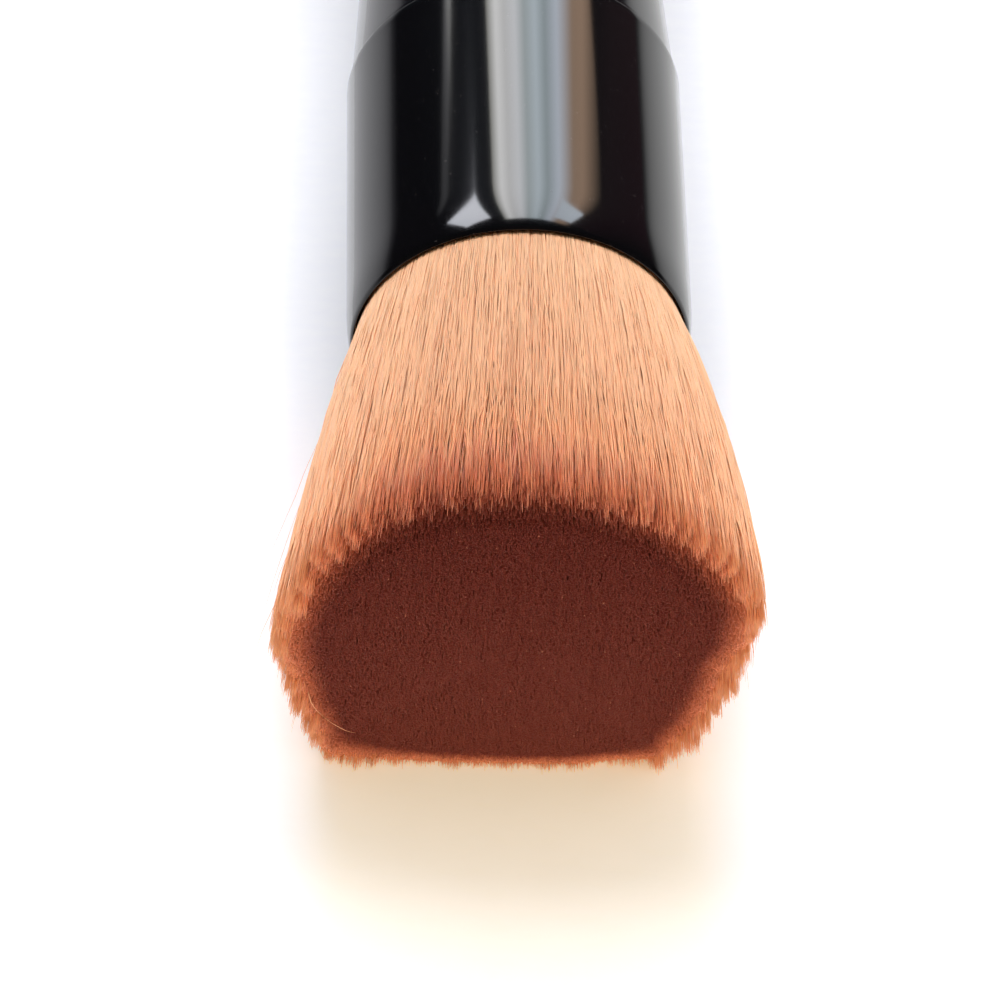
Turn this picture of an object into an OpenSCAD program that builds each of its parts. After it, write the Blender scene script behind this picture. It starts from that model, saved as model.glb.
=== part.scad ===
// Short flat-topped makeup brush lying on its side.
// +Y runs along the brush from the bristles to the tail, +Z is up and +X is to the right.
// The origin is the middle of the footprint, and the table is the plane z = 0.
// Every piece but the bristles is turned about the axis of the brush, one ferrule radius above the table.

/* [Bristle head] */
// Width of the flat brushing face
face_d = 32.5; // [28:0.5:38]
// Length of bristle that stands out of the ferrule
bristle_len = 27.5; // [20:0.5:34]
// Height of the slight dome on the brushing face
face_dome = 0.8; // [0:0.1:2]
// Outward bow of the head's side between ferrule and face
head_bow = 0.2; // [0:0.05:0.6]
// Difference in length between neighbouring strands
tip_uneven = 0.5; // [0:0.1:1]
// Depth by which the table presses the underside of the head flat
table_press = 0.5; // [0.4:0.1:0.8]
// Strands across the head, which has this many squared
strands_across = 20; // [18:1:22]
// Depth of the strand roots behind the mouth of the ferrule
root_recess = 0.6; // [0.4:0.1:1.5]
// Thickness of the slice of backing that the strands stand on
slice_len = 2.4; // [1.5:0.1:4]

/* [Ferrule] */
// Outer diameter of the ferrule
ferrule_d = 24; // [22:0.5:27]
// Length of the ferrule
ferrule_len = 25; // [22:0.5:32]
// Wall of the ferrule tube
ferrule_wall = 0.45; // [0.35:0.05:0.7]
// Length of the turned-in lip at the mouth
lip_len = 1.1; // [0.6:0.1:1.6]
// Drop of the lip below the outside of the tube
lip_drop = 0.28; // [0.2:0.02:0.32]

/* [Root plug] */
// Length of the cured resin plug that holds the roots
plug_len = 8; // [6:0.5:10]
// Width of the band that ties the roots
band_len = 3; // [2:0.5:4]
// Thickness of the band that ties the roots
band_wall = 0.6; // [0.4:0.1:1]

/* [Handle] */
// Length of the handle from the ferrule to the joint of the end cap
handle_len = 50; // [48:1:70]
// Step down from the ferrule's outside to the handle's shoulder
shoulder_step = 0.2; // [0.1:0.05:0.3]
// Depth of the handle's waist below the ferrule's outside
waist_drop = 1.25; // [0.6:0.05:2]
// Distance from the ferrule to the waist
waist_at = 24; // [16:1:30]
// Depth of the rear swell below the ferrule's outside
swell_drop = 0.5; // [0.1:0.05:1]
// Distance from the ferrule to the rear swell
swell_at = 46; // [38:1:47]
// Rounding of the handle's edge at the ferrule
shoulder_round = 0.2; // [0.1:0.05:0.3]
// Solid wall between the front of the tenon and the bore
tenon_end_wall = 3; // [2:0.5:5]
// Glue thickness around the tenon
glue_wall = 0.3; // [0.2:0.05:0.5]

/* [Balance weight] */
// Diameter of the steel slug
weight_d = 16; // [12:0.5:17]
// Length of the steel slug
weight_len = 15; // [8:0.5:20]
// Chamfer on the slug and on the tenon
edge_chamfer = 0.5; // [0.2:0.1:1]

/* [End cap] */
// Length of the end cap behind its joint
cap_len = 6; // [4:0.5:9]
// Length of the spigot that enters the handle
spigot_len = 8; // [5:0.5:12]
// Diameter of the flat at the tail
tail_flat_d = 17; // [12:0.5:19]
// Glue thickness around the spigot
cap_glue_wall = 0.2; // [0.15:0.05:0.4]
// Width and depth of the chamfers at the joint of the end cap
seam_chamfer = 0.15; // [0.1:0.05:0.3]

/* [Hidden] */
$fn = 96;

// Running gap between glued or nested round pieces
fit_gap = 0.05;

// Radii about the axis of the brush
ferrule_r = ferrule_d / 2;
ferrule_bore_r = ferrule_r - ferrule_wall;
mouth_r = ferrule_r - lip_drop;
face_r = face_d / 2;
tenon_r = ferrule_bore_r - glue_wall;
shoulder_r = ferrule_r - shoulder_step;
waist_r = ferrule_r - waist_drop;
swell_r = ferrule_r - swell_drop;
tail_flat_r = tail_flat_d / 2;
weight_r = weight_d / 2;
handle_bore_r = weight_r + fit_gap;
spigot_r = handle_bore_r - cap_glue_wall;
plug_r = ferrule_bore_r - fit_gap;

// The head widens from its roots, which stay clear of the mouth of the ferrule
head_slope = (face_r - ferrule_bore_r + 4 * head_bow) / bristle_len;
root_r = ferrule_bore_r - 2 * fit_gap - root_recess * head_slope;

// Places along the axis, counted from the mouth of the ferrule towards the tail
slice_end = root_recess + slice_len;
plug_end = slice_end + plug_len;
band_start = slice_end + (plug_len - band_len) / 2;
shoulder_s = ferrule_len;
cap_joint_s = shoulder_s + handle_len;
tail_s = cap_joint_s + cap_len;
bore_front_s = plug_end + tenon_end_wall;
weight_end_s = bore_front_s + weight_len;
spigot_front_s = cap_joint_s - spigot_len;
total_len = bristle_len + tail_s;

// Height of the axis above the table and place of the ferrule's mouth along Y
axis_z = ferrule_r;
mouth_y = bristle_len - total_len / 2;

// Shares of a strand's cell that it fills halfway along and at its tip
mid_fill_share = 0.94;
tip_fill_share = 0.84;
// Place of a strand's middle joint as a share of its length
mid_place_share = 0.45;
// Seed of the uneven strand lengths
uneven_seed = 7;
// Turn of the strands' pattern about the axis, so that its rows line up with no side of the brush
pattern_turn = 17;
// Turn of the tail's rounding curve: 2 is an ellipse, more is squarer
tail_power = 2.4;

// Steps in the curved outlines
lip_steps = 8;
round_steps = 5;
skin_steps = 32;
tail_steps = 14;

// Turns an outline of [radius, place] points about the axis of the brush
module turned(outline) {
    translate([0, mouth_y, axis_z])
        rotate([-90, 0, 0])
            rotate_extrude()
                polygon(outline);
}

// A plain ring between two radii and two places
module ring(inner_r, outer_r, front_s, back_s) {
    turned([[inner_r, front_s], [outer_r, front_s], [outer_r, back_s], [inner_r, back_s]]);
}

// Points on an arc in the plane of an outline
function arc(centre, radius, start, end, steps) = [
    for (k = [0 : steps])
        let (turn = start + (end - start) * k / steps)
        centre + radius * [cos(turn), sin(turn)]
];

// Smooth rise from 0 to 1
function ease(t) = t * t * (3 - 2 * t);

// Outside radius of handle and end cap at a distance behind the ferrule
function skin_r(s) =
    s < waist_at ? waist_r + (shoulder_r - waist_r) * pow(1 - s / waist_at, 2) :
    s < swell_at ? waist_r + (swell_r - waist_r) * ease((s - waist_at) / (swell_at - waist_at)) :
    let (t = min(1, (s - swell_at) / (handle_len + cap_len - swell_at)))
    tail_flat_r + (swell_r - tail_flat_r) * pow(1 - pow(t, tail_power), 1 / tail_power);

// Cell corners of a square grid laid out evenly over the unit disc and turned with the pattern
function disc_point(u, v) =
    let (
        reach = abs(u) > abs(v) ? u : v,
        turn = reach == 0 ? 0 : abs(u) > abs(v) ? 45 * v / u : 90 - 45 * u / v
    )
    reach * [cos(turn + pattern_turn), sin(turn + pattern_turn)];

// Radius of the head at a share of its length, with its outward bow
function head_r(t) = root_r + (face_r - root_r) * t + 4 * head_bow * t * (1 - t);

// Places a point of the unit disc on the head's section of a given radius, pressed flat by the table
function section_point(p, radius, s) =
    let (
        x = radius * p[0],
        chord = sqrt(max(0, radius * radius - x * x)),
        squeeze = chord > axis_z + table_press ? (axis_z + table_press) / chord : 1,
        z = p[1] < 0 ? radius * p[1] * squeeze : radius * p[1]
    )
    [x, mouth_y + s, max(0, axis_z + z)];

// Place along the axis of a strand's tip
function tip_s(centre, draw) =
    -bristle_len + face_dome * (centre * centre) + tip_uneven * draw * min(1, 4 * (centre * centre));

// Faces of a strand's sides between two of its joints, folded the same way as the neighbour's facing side
function wall_faces(low, high) = [
    for (q = [0 : 3])
        let (w = (q + 1) % 4)
        each q % 3 == 0 ?
            [[low[q], high[q], low[w]], [low[w], high[q], high[w]]] :
            [[low[q], high[w], low[w]], [low[q], high[q], high[w]]]
];

// Four-sided strands that share the corners of their roots with each other and with the slice behind them
module bristles() {
    n = strands_across;
    draws = rands(0, 1, n * n, uneven_seed);
    grid = [for (j = [0 : n]) [for (i = [0 : n]) disc_point(2 * i / n - 1, 2 * j / n - 1)]];
    cells = [for (j = [0 : n - 1]) for (i = [0 : n - 1]) [i, j]];
    edge = concat(
        [for (i = [0 : n - 1]) [i, 0]],
        [for (j = [0 : n - 1]) [n, j]],
        [for (i = [0 : n - 1]) [n - i, n]],
        [for (j = [0 : n - 1]) [0, n - j]]
    );

    root_points = [for (row = grid) for (p = row) section_point(p, root_r, root_recess)];
    strand_points = [
        for (k = [0 : len(cells) - 1])
            let (
                i = cells[k][0],
                j = cells[k][1],
                corners = [grid[j][i], grid[j][i + 1], grid[j + 1][i + 1], grid[j + 1][i]],
                centre = (corners[0] + corners[1] + corners[2] + corners[3]) / 4,
                end_s = tip_s(centre, draws[k])
            )
            each [
                for (level = [[mid_place_share, mid_fill_share], [1, tip_fill_share]])
                    for (corner = corners)
                        section_point(
                            centre + (corner - centre) * level[1],
                            head_r(level[0]),
                            root_recess + (end_s - root_recess) * level[0]
                        )
            ]
    ];
    back_points = [for (c = edge) section_point(grid[c[1]][c[0]], root_r, slice_end)];
    points = concat(root_points, strand_points, back_points, [[0, mouth_y + slice_end, axis_z]]);

    strands_from = len(root_points);
    back_from = strands_from + len(strand_points);
    hub = len(points) - 1;
    corner_steps = [[0, 0], [1, 0], [1, 1], [0, 1]];

    strand_faces = [
        for (k = [0 : len(cells) - 1])
            let (
                root = [for (step = corner_steps) (cells[k][1] + step[1]) * (n + 1) + cells[k][0] + step[0]],
                mid = [for (q = [0 : 3]) strands_from + 8 * k + q],
                tip = [for (q = [0 : 3]) strands_from + 8 * k + 4 + q]
            )
            each concat(
                wall_faces(root, mid),
                wall_faces(mid, tip),
                [[tip[0], tip[2], tip[1]], [tip[0], tip[3], tip[2]]]
            )
    ];
    slice_faces = [
        for (k = [0 : len(edge) - 1])
            let (
                next = (k + 1) % len(edge),
                front = edge[k][1] * (n + 1) + edge[k][0],
                front_next = edge[next][1] * (n + 1) + edge[next][0]
            )
            each [
                [front, front_next, back_from + next],
                [front, back_from + next, back_from + k],
                [hub, back_from + k, back_from + next]
            ]
    ];

    color("burlywood") polyhedron(points, concat(strand_faces, slice_faces));
}

module root_plug() {
    groove_r = plug_r - band_wall - fit_gap;
    color("wheat")
        turned([
            [0, slice_end],
            [plug_r, slice_end],
            [plug_r, band_start - fit_gap],
            [groove_r, band_start - fit_gap],
            [groove_r, band_start + band_len + fit_gap],
            [plug_r, band_start + band_len + fit_gap],
            [plug_r, plug_end],
            [0, plug_end]
        ]);
}

module root_band() {
    color("ivory") ring(plug_r - band_wall, plug_r, band_start, band_start + band_len);
}

// The lip's outside is an arc that leaves the tube without a corner and drops by lip_drop over lip_len
module ferrule() {
    lip_r = (lip_len * lip_len + lip_drop * lip_drop) / (2 * lip_drop);
    lip_turn = asin(lip_len / lip_r);
    edge_r = (mouth_r - ferrule_bore_r) / 2;
    color("#141416")
        turned(concat(
            arc([mouth_r - edge_r, edge_r], edge_r, 180, 360, round_steps),
            arc([ferrule_r - lip_r, lip_len + edge_r], lip_r, -lip_turn, 0, lip_steps),
            [[ferrule_r, ferrule_len], [ferrule_bore_r, ferrule_len]]
        ));
}

module tenon_adhesive() {
    color("lightyellow")
        ring(tenon_r + fit_gap, ferrule_bore_r - fit_gap, plug_end + glue_wall, shoulder_s - glue_wall);
}

module handle() {
    edge_r = skin_r(shoulder_round);
    color("#17171a")
        turned(concat(
            [
                [0, plug_end],
                [tenon_r - edge_chamfer, plug_end],
                [tenon_r, plug_end + edge_chamfer],
                [tenon_r, shoulder_s]
            ],
            arc([edge_r - shoulder_round, shoulder_s + shoulder_round], shoulder_round, -90, 0, round_steps),
            [
                for (k = [1 : skin_steps])
                    let (s = shoulder_round + (handle_len - seam_chamfer - shoulder_round) * k / skin_steps)
                    [skin_r(s), shoulder_s + s]
            ],
            [
                [skin_r(handle_len) - seam_chamfer, cap_joint_s],
                [handle_bore_r, cap_joint_s],
                [handle_bore_r, bore_front_s],
                [0, bore_front_s]
            ]
        ));
}

module balance_weight() {
    color("silver")
        turned([
            [0, bore_front_s],
            [weight_r - edge_chamfer, bore_front_s],
            [weight_r, bore_front_s + edge_chamfer],
            [weight_r, weight_end_s - edge_chamfer],
            [weight_r - edge_chamfer, weight_end_s],
            [0, weight_end_s]
        ]);
}

module weight_pad() {
    pad_r = handle_bore_r - fit_gap;
    color("dimgray")
        turned([[0, weight_end_s], [pad_r, weight_end_s], [pad_r, spigot_front_s], [0, spigot_front_s]]);
}

module end_cap() {
    color("#17171a")
        turned(concat(
            [
                [0, spigot_front_s],
                [spigot_r - edge_chamfer, spigot_front_s],
                [spigot_r, spigot_front_s + edge_chamfer],
                [spigot_r, cap_joint_s],
                [skin_r(handle_len) - seam_chamfer, cap_joint_s]
            ],
            [
                for (k = [0 : tail_steps])
                    let (s = handle_len + seam_chamfer + (cap_len - seam_chamfer) * sin(90 * k / tail_steps))
                    [skin_r(s), shoulder_s + s]
            ],
            [[0, tail_s]]
        ));
}

module cap_adhesive() {
    glue_front_s = spigot_front_s + edge_chamfer;
    color("lightyellow")
        ring(spigot_r + fit_gap, handle_bore_r - fit_gap, glue_front_s, cap_joint_s - cap_glue_wall);
}

bristles();
root_plug();
root_band();
ferrule();
tenon_adhesive();
handle();
balance_weight();
weight_pad();
end_cap();
cap_adhesive();
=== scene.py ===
"""Dresses a short flat-topped makeup brush that lies on its side on pale paper.

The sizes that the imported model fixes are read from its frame. The head is built from strands of
dip-dyed filament, and the ferrule, the handle and the end cap are turned skins of black gloss.
Lengths in the classes are in millimetres, and every mesh is built in metres.
"""
import logging
import math
from collections.abc import Sequence
from dataclasses import dataclass, field
from enum import Enum

import bpy
import numpy as np
from mathutils import Matrix, Vector


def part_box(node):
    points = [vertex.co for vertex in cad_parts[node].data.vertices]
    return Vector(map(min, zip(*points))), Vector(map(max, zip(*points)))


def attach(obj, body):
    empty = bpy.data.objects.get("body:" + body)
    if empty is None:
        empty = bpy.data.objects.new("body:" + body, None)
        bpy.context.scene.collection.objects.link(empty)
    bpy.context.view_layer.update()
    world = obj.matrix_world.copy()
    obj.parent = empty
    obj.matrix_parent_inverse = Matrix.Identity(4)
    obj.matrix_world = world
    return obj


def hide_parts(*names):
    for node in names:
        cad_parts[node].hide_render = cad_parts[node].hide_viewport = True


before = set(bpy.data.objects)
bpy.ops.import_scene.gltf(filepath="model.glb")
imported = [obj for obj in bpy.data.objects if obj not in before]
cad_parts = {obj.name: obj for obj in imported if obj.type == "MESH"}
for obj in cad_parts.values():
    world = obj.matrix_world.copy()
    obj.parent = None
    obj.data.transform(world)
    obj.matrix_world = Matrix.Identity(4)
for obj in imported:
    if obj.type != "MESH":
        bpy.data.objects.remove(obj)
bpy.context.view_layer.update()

MM = 0.001
BAKE_MAP = "OFBake"
log = logging.getLogger("brush")


def linear(code: str) -> tuple[float, float, float, float]:
    """Turns an sRGB hex colour to linear light.

    Args:
        code: Six hex digits with a leading hash.

    Returns:
        Red, green, blue and full alpha.
    """
    values = [int(code[k:k + 2], 16) / 255 for k in (1, 3, 5)]
    flat = [v / 12.92 if v <= 0.04045 else ((v + 0.055) / 1.055) ** 2.4 for v in values]
    return flat[0], flat[1], flat[2], 1.0


def smooth(share: np.ndarray) -> np.ndarray:
    """Smooth rise from 0 to 1 of shares that are held between 0 and 1."""
    held = np.clip(share, 0, 1)
    return held * held * (3 - 2 * held)


def set_inputs(
    tree: bpy.types.NodeTree,
    node: bpy.types.Node,
    inputs: dict[str | int, object],
) -> None:
    """Sets or links inputs of a node.

    Args:
        tree: The node's tree.
        node: The node.
        inputs: Values, output sockets or nodes, of which the first output is used, by the name
            or the number of the input.
    """
    for name, value in inputs.items():
        if isinstance(value, bpy.types.Node):
            value = value.outputs[0]
        if isinstance(value, bpy.types.NodeSocket):
            tree.links.new(value, node.inputs[name])
        else:
            node.inputs[name].default_value = value


def add_node(
    tree: bpy.types.NodeTree,
    kind: str,
    settings: dict[str, object] | None = None,
    inputs: dict[str | int, object] | None = None,
    stops: Sequence[tuple[float, str]] = (),
) -> bpy.types.Node:
    """Adds a node with its settings, its constant inputs and its links.

    Args:
        tree: The tree that gets the node.
        kind: The node's type name without its leading "ShaderNode".
        settings: Properties of the node itself.
        inputs: What set_inputs gives to the node.
        stops: Places from 0 to 1 along the node's colour ramp, with their sRGB hex colours.

    Returns:
        The new node.
    """
    node = tree.nodes.new("ShaderNode" + kind)
    for name, value in (settings or {}).items():
        setattr(node, name, value)
    set_inputs(tree, node, inputs or {})
    while stops and len(node.color_ramp.elements) < len(stops):
        node.color_ramp.elements.new(0.5)
    for number, (at, code) in enumerate(stops):
        node.color_ramp.elements[number].position = at
        node.color_ramp.elements[number].color = linear(code)
    return node


def direct_rays(tree: bpy.types.NodeTree) -> bpy.types.NodeSocket:
    """Adds nodes that tell the camera's, mirrored and see-through rays from the rays that light.

    Args:
        tree: The tree that gets the nodes.

    Returns:
        A socket that is 1 for such a ray and 0 for the others.
    """
    path = add_node(tree, "LightPath")
    seen = path.outputs["Is Camera Ray"]
    for other in ("Is Glossy Ray", "Is Transmission Ray"):
        either = add_node(tree, "Math", {"operation": "MAXIMUM"}, {0: seen, 1: path.outputs[other]})
        seen = either.outputs[0]
    return seen


def object_noise(
    tree: bpy.types.NodeTree,
    grain: Sequence[float],
    detail: float,
    turn: float = 0.0,
) -> bpy.types.NodeSocket:
    """Adds noise in the space of the piece.

    Args:
        tree: The tree that gets the nodes.
        grain: Size of the noise along X, Y and Z, in millimetres.
        detail: Number of finer layers.
        turn: Turn of the noise about Z, in radians.

    Returns:
        The socket with the noise, from 0 to 1.
    """
    where = add_node(tree, "TexCoord")
    placed = add_node(tree, "Mapping", None, {
        "Vector": where.outputs["Object"], "Rotation": (0.0, 0.0, turn),
        "Scale": [1 / (size * MM) for size in grain],
    })
    noise = add_node(tree, "TexNoise", None, {"Vector": placed, "Scale": 1.0, "Detail": detail})
    return noise.outputs["Fac"]


@dataclass(frozen=True)
class Finish:
    """What every finish has: a name, a typical IOR, a roughness and a base colour."""

    name: str
    colour: str
    roughness: float
    ior: float = 1.5
    metallic: float = 0.0

    def material(self) -> bpy.types.Material:
        """Makes the material, or gives the one made before.

        Returns:
            The material with the finish's nodes.
        """
        if self.name in bpy.data.materials:
            return bpy.data.materials[self.name]
        made = bpy.data.materials.new(self.name)
        made.use_nodes = True
        shader = made.node_tree.nodes["Principled BSDF"]
        shader.inputs["Base Color"].default_value = linear(self.colour)
        shader.inputs["Roughness"].default_value = self.roughness
        if self.metallic:
            shader.inputs["Metallic"].default_value = self.metallic
        else:
            shader.inputs["IOR"].default_value = self.ior
        self.detail(made.node_tree, shader)
        return made

    def detail(self, tree: bpy.types.NodeTree, shader: bpy.types.Node) -> None:
        """Adds the nodes of one finish.

        Args:
            tree: The material's node tree.
            shader: Its Principled node.
        """
        raise NotImplementedError


def between(knots: Sequence[Sequence[float]], degrees: np.ndarray) -> np.ndarray:
    """Smooth values between knots round a full turn.

    Args:
        knots: Turn in degrees from -180 to 180 and one value or more for each knot.
        degrees: Turns at which the values are wanted.

    Returns:
        The values, with one more axis than the turns.
    """
    table = np.array(knots, float)
    place = (degrees + 180) % 360 - 180
    after = np.clip(np.searchsorted(table[:, 0], place, side="right"), 1, len(table) - 1)
    low, high = table[after - 1], table[after]
    share = smooth((place - low[..., 0]) / (high[..., 0] - low[..., 0]))[..., None]
    return low[..., 1:] + (high[..., 1:] - low[..., 1:]) * share


@dataclass(frozen=True)
class DipDyedFilament(Finish):
    """PBT filament, extruded, tapered and dip-dyed at the tips.

    The tan of the bare filament turns salmon and then red-brown over the dyed end. Each strand
    takes up the dye to its own height. Strands at the rim, most below and at the flanks, are painted
    paler: painted light that shines through the rim strands.
    """

    draws: int = 128
    height_spread: float = 0.045
    shade_low: float = 0.925
    shade_high: float = 1.075
    specular: float = 0.3
    through: float = 0.2
    depth: float = 0.35
    reach: tuple[float, float, float] = (1.0, 0.55, 0.4)
    tip_from: float = 0.96
    tip_full: float = 0.995
    dyed: tuple[tuple[float, str], ...] = (
        (0.0, "#FABF91"), (0.4, "#FAB889"), (0.6, "#F9B17F"), (0.74, "#F9AB77"), (0.83, "#F59E71"),
        (0.9, "#EC8865"), (0.95, "#D6745D"), (0.985, "#A4543F"), (1.0, "#7C342B"),
    )
    # Lighter colour of a few strand tips: a painted glint at the tips.
    painted_glint: str = "#9A5C4C"

    def column(self, count: int, rng: np.random.Generator) -> np.ndarray:
        """Draws a map column for each of a number of strands."""
        return rng.integers(0, self.draws - 1, count)

    @property
    def painted_glint_column(self) -> int:
        """The map column of strands with a painted glint on their tips."""
        return self.draws - 1

    def detail(self, tree: bpy.types.NodeTree, shader: bpy.types.Node) -> None:
        """Colours the strands by the column and the depth of dye in their map.

        Args:
            tree: The material's node tree.
            shader: Its Principled node.
        """
        where = add_node(tree, "UVMap", {"uv_map": BAKE_MAP})
        split = add_node(tree, "SeparateXYZ", None, {"Vector": where.outputs["UV"]})
        scaled = add_node(
            tree, "Math", {"operation": "MULTIPLY"}, {0: split.outputs["X"], 1: self.draws}
        )
        column = add_node(tree, "Math", {"operation": "FLOOR"}, {0: scaled})
        draw = add_node(tree, "TexWhiteNoise", {"noise_dimensions": "1D"}, {"W": column})
        draws = add_node(tree, "SeparateColor", None, {"Color": draw.outputs["Color"]})

        shift = add_node(tree, "MapRange", None, {
            "Value": draws.outputs["Red"], "To Min": -self.height_spread,
            "To Max": self.height_spread * 0.4,
        })
        height = add_node(tree, "Math", {"operation": "ADD", "use_clamp": True}, {
            0: split.outputs["Y"], 1: shift,
        })
        is_tip = add_node(tree, "MapRange", None, {
            "Value": split.outputs["Y"], "From Min": self.tip_from, "From Max": self.tip_full,
        })
        depth = add_node(tree, "Math", {"operation": "MAXIMUM"}, {0: height, 1: is_tip})
        dyed = add_node(tree, "ValToRGB", None, {"Fac": depth}, self.dyed)
        # Strands of that column take the painted glint colour.
        is_painted_glint = add_node(tree, "Math", {"operation": "COMPARE"}, {
            0: column, 1: self.painted_glint_column, 2: 0.4,
        })
        all_kinds = add_node(tree, "Mix", {"data_type": "RGBA"}, {
            "Factor": is_painted_glint, 6: dyed, 7: linear(self.painted_glint),
        })
        shade = add_node(tree, "MapRange", None, {
            "Value": draws.outputs["Green"], "To Min": self.shade_low, "To Max": self.shade_high,
        })
        coloured = add_node(tree, "HueSaturation", None, {
            "Color": all_kinds.outputs[2], "Value": shade,
        })
        set_inputs(tree, shader, {
            "Base Color": coloured, "Specular IOR Level": self.specular,
            "Subsurface Weight": self.through, "Subsurface Radius": self.reach,
            "Subsurface Scale": self.depth * MM,
        })


@dataclass(frozen=True)
class PackedFilament(Finish):
    """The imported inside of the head, as it shows between the strands: shaded filament."""

    front: float = -54.25
    length: float = 27.5
    pitch: float = 0.16
    streak_length: float = 8.0
    stops: tuple[tuple[float, str], ...] = (
        (0.0, "#F2B184"), (0.55, "#ECA577"), (0.75, "#D9875D"), (0.88, "#9E4D39"), (0.955, "#6E2D24"),
        (1.0, "#6C2A22"),
    )

    def detail(self, tree: bpy.types.NodeTree, shader: bpy.types.Node) -> None:
        """Colours the core by its place along the brush, with fine streaks.

        Args:
            tree: The material's node tree.
            shader: Its Principled node.
        """
        where = add_node(tree, "TexCoord")
        split = add_node(tree, "SeparateXYZ", None, {"Vector": where.outputs["Object"]})
        height = add_node(tree, "MapRange", None, {
            "Value": split.outputs["Y"], "From Min": (self.front + self.length) * MM,
            "From Max": self.front * MM,
        })
        colour = add_node(tree, "ValToRGB", None, {"Fac": height}, self.stops)
        streaks = object_noise(tree, (self.pitch, self.streak_length, self.pitch), 1.0)
        shade = add_node(tree, "MapRange", None, {"Value": streaks, "To Min": 0.85, "To Max": 1.15})
        shaded = add_node(tree, "HueSaturation", None, {"Color": colour, "Value": shade})
        set_inputs(tree, shader, {"Base Color": shaded, "Specular IOR Level": 0.1})


@dataclass(frozen=True)
class BlackGloss(Finish):
    """Black gloss, either baked lacquer on metal or polished moulded plastic.

    Deep black with clean reflections. A slow waviness of the surface bends their edges, and a
    film of fine dust and faint rub marks keeps the black from looking empty.
    """

    wave: float = 5.0
    wave_depth: float = 0.0012
    dust_grain: float = 0.35
    dust_colour: str = "#2C2A2A"
    dust_share: float = 0.01
    rub_pitch: float = 0.5
    rub_length: float = 6.0
    dust_from: float = 0.7
    dust_full: float = 0.78
    smoothest: float = 0.96
    roughest: float = 1.06

    def detail(self, tree: bpy.types.NodeTree, shader: bpy.types.Node) -> None:
        """Adds waviness, dust and rub marks.

        Args:
            tree: The material's node tree.
            shader: Its Principled node.
        """
        grain = object_noise(tree, [self.dust_grain] * 3, 2.0)
        dust = add_node(tree, "MapRange", {"interpolation_type": "SMOOTHSTEP"}, {
            "Value": grain, "From Min": self.dust_from - self.dust_share, "From Max": self.dust_full,
        })
        colour = add_node(tree, "Mix", {"data_type": "RGBA"}, {
            "Factor": dust, 6: linear(self.colour), 7: linear(self.dust_colour),
        })
        rubs = object_noise(tree, (self.rub_length, self.rub_pitch, self.rub_length), 3.0)
        rough = add_node(tree, "MapRange", None, {
            "Value": rubs, "From Min": 0.35, "From Max": 0.75,
            "To Min": self.roughness * self.smoothest, "To Max": self.roughness * self.roughest,
        })
        waves = object_noise(tree, [self.wave] * 3, 0.0)
        bump = add_node(tree, "Bump", None, {
            "Height": waves, "Strength": 1.0, "Distance": self.wave_depth * MM,
        })
        set_inputs(tree, shader, {"Base Color": colour.outputs[2], "Roughness": rough, "Normal": bump})


class Inside(Enum):
    """How the surface of a hidden piece was made."""

    CAST = "cast"
    WOUND = "wound"
    TURNED = "turned"
    PRESSED = "pressed"


@dataclass(frozen=True)
class InsideFinish(Finish):
    """Finish of a piece that the skins hide: its own colour with the marks of how it was made."""

    made: Inside = Inside.CAST
    second: str = "#000000"
    pitch: float = 1.0
    relief: float = 0.02

    def detail(self, tree: bpy.types.NodeTree, shader: bpy.types.Node) -> None:
        """Adds clouds, windings, tool rings or fibres.

        Args:
            tree: The material's node tree.
            shader: Its Principled node.
        """
        if self.made in (Inside.WOUND, Inside.TURNED):
            where = add_node(tree, "TexCoord")
            bands = add_node(tree, "TexWave", {"wave_type": "BANDS", "bands_direction": "Y"}, {
                "Vector": where.outputs["Object"], "Scale": 0.31 / (self.pitch * MM), "Distortion": 0.4,
                "Detail": 1.0,
            })
            mark = bands.outputs["Fac"]
        else:
            mark = object_noise(tree, [self.pitch] * 3, 5.0 if self.made is Inside.PRESSED else 2.0)
        colour = add_node(tree, "Mix", {"data_type": "RGBA"}, {
            "Factor": mark, 6: linear(self.colour), 7: linear(self.second),
        })
        bump = add_node(
            tree, "Bump", None, {"Height": mark, "Strength": 0.6, "Distance": self.relief * MM}
        )
        set_inputs(tree, shader, {"Base Color": colour.outputs[2], "Normal": bump})


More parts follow.
